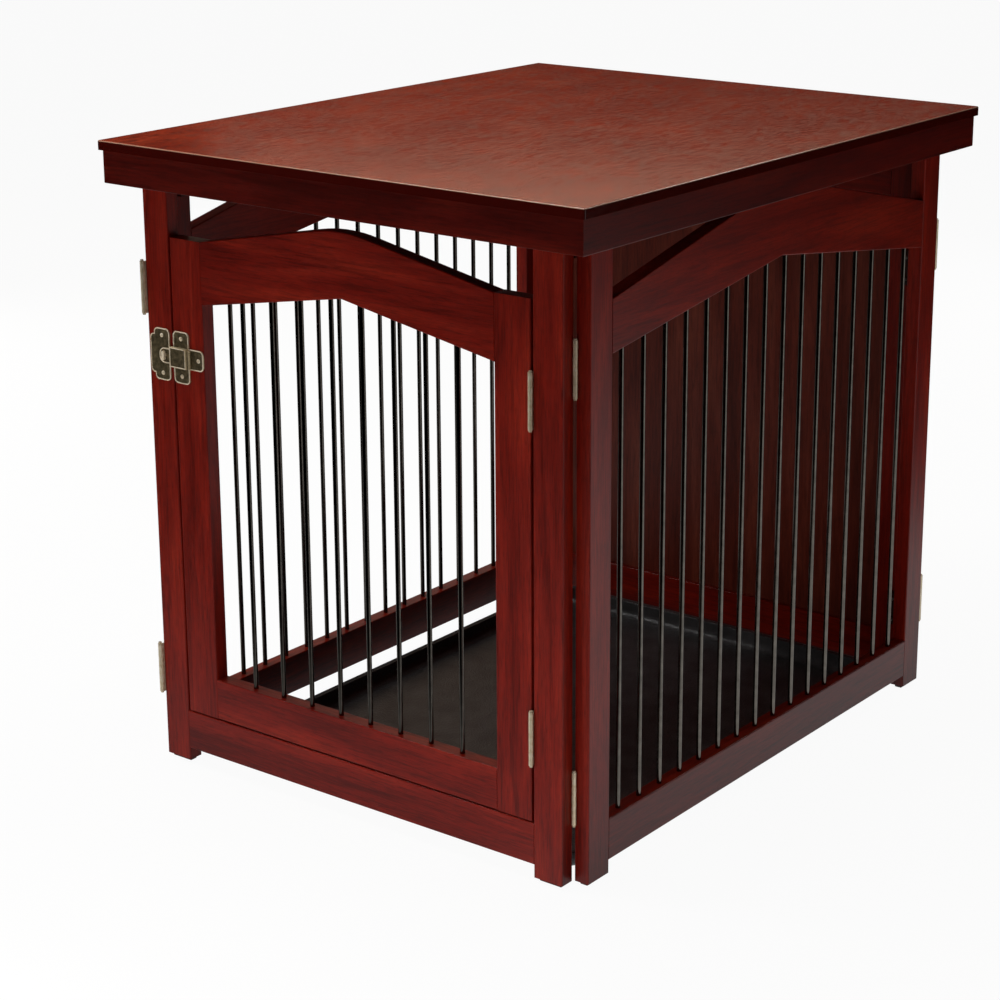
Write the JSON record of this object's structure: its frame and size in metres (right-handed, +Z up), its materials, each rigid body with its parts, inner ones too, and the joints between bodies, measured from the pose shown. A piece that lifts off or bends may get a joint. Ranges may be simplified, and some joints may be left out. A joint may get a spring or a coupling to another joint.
{
  "type": "pet crate",
  "caption": "Wooden pet crate with barred side panels on pin hinges, a latched barred door with an arched rail, a lift-off table top and a floor tray.",
  "frame": {"origin": "on the floor, at the middle of the plan", "axes": "+X to the right along the front, +Y from the door to the back, +Z up"},
  "size_m": [0.7304, 0.8888, 0.8128],
  "materials": {
    "frame_wood": "semi-gloss mahogany lacquer",
    "top_wood": "semi-gloss mahogany veneer",
    "block_wood": "satin mahogany stain",
    "board_wood": "satin mahogany veneer",
    "rod_black": "gloss black",
    "aged_brass": "antique brass",
    "bright_brass": "polished brass",
    "steel": "zinc-plated",
    "catch_plastic": "dark brown",
    "tray_plastic": "pebbled black"
  },
  "bodies": {
    "frame": {"front_left_post": "frame_wood", "front_right_post": "frame_wood", "front_bottom_rail": "frame_wood", "left_front_post": "frame_wood", "left_back_post": "frame_wood", "left_top_rail": "frame_wood", "left_bottom_rail": "frame_wood", "left_rods": "rod_black", "frame_feet": "frame_wood", "door_hinge_post_leaves": "bright_brass", "corner_hinge_fixed_leaves": "bright_brass", "hinge_pins": "bright_brass", "front_end_hinges": "bright_brass", "frame_hinge_screws": "bright_brass", "latch_post_plate": "aged_brass", "latch_post_screws": "aged_brass", "corner_brackets": "steel", "corner_bracket_screws": "steel"},
    "door": {"door_left_stile": "frame_wood", "door_right_stile": "frame_wood", "door_top_rail": "frame_wood", "door_bottom_rail": "frame_wood", "door_rods": "rod_black", "door_hinge_leaves": "bright_brass", "door_hinge_screws": "bright_brass", "latch_door_plate": "aged_brass", "latch_door_screws": "aged_brass", "latch_pin": "aged_brass"},
    "latch_flap": {"latch_flap": "aged_brass"},
    "latch_staple": {"latch_staple": "aged_brass"},
    "right_panel": {"right_front_post": "frame_wood", "right_back_post": "frame_wood", "right_top_rail": "frame_wood", "right_bottom_rail": "frame_wood", "right_rods": "rod_black", "right_feet": "frame_wood", "right_hinge_leaves": "bright_brass", "right_panel_screws": "bright_brass", "right_end_hinges": "bright_brass", "right_end_pins": "bright_brass", "corner_strikes": "steel"},
    "back_panel": {"back_left_post": "frame_wood", "back_right_post": "frame_wood", "back_top_rail": "frame_wood", "back_bottom_rail": "frame_wood", "back_board": "board_wood", "back_feet": "frame_wood", "back_hinge_leaves": "bright_brass", "back_hinge_screws": "bright_brass", "corner_catches": "catch_plastic", "corner_catch_screws": "steel"},
    "top": {"top_slab": "top_wood", "apron_front": "top_wood", "apron_back": "top_wood", "apron_left": "top_wood", "apron_right": "top_wood", "top_corner_blocks": "block_wood", "top_locating_pads": "block_wood", "top_block_screws": "steel"},
    "tray": {"tray": "tray_plastic"}
  },
  "joints": [
    {"name": "door_swing", "type": "hinge", "parent": "frame", "child": "door", "pos_m": [0.26705, -0.4092, 0.38], "axis": [0, 0, 1], "range_deg": [0, 170]},
    {"name": "latch_flap_swing", "type": "hinge", "parent": "door", "child": "latch_flap", "pos_m": [-0.25925, -0.4106, 0.5465], "axis": [0, 0, 1], "range_deg": [0, 140]},
    {"name": "latch_staple_turn", "type": "hinge", "parent": "frame", "child": "latch_staple", "pos_m": [-0.30075, -0.4064, 0.5465], "axis": [0, 1, 0], "range_deg": [0, 90]},
    {"name": "right_panel_swing", "type": "hinge", "parent": "frame", "child": "right_panel", "pos_m": [0.31285, -0.388, 0.38], "axis": [0, 0, -1], "range_deg": [0, 90]},
    {"name": "back_panel_swing", "type": "hinge", "parent": "frame", "child": "back_panel", "pos_m": [-0.31285, 0.388, 0.38], "axis": [0, 0, 1], "range_deg": [0, 90]},
    {"name": "top_lift", "type": "slide", "parent": "frame", "child": "top", "axis": [0, 0, 1], "range_m": [0, 0.2]},
    {"name": "tray_lift", "type": "slide", "parent": "frame", "child": "tray", "axis": [0, 0, 1], "range_m": [0, 0.12]}
  ]
}
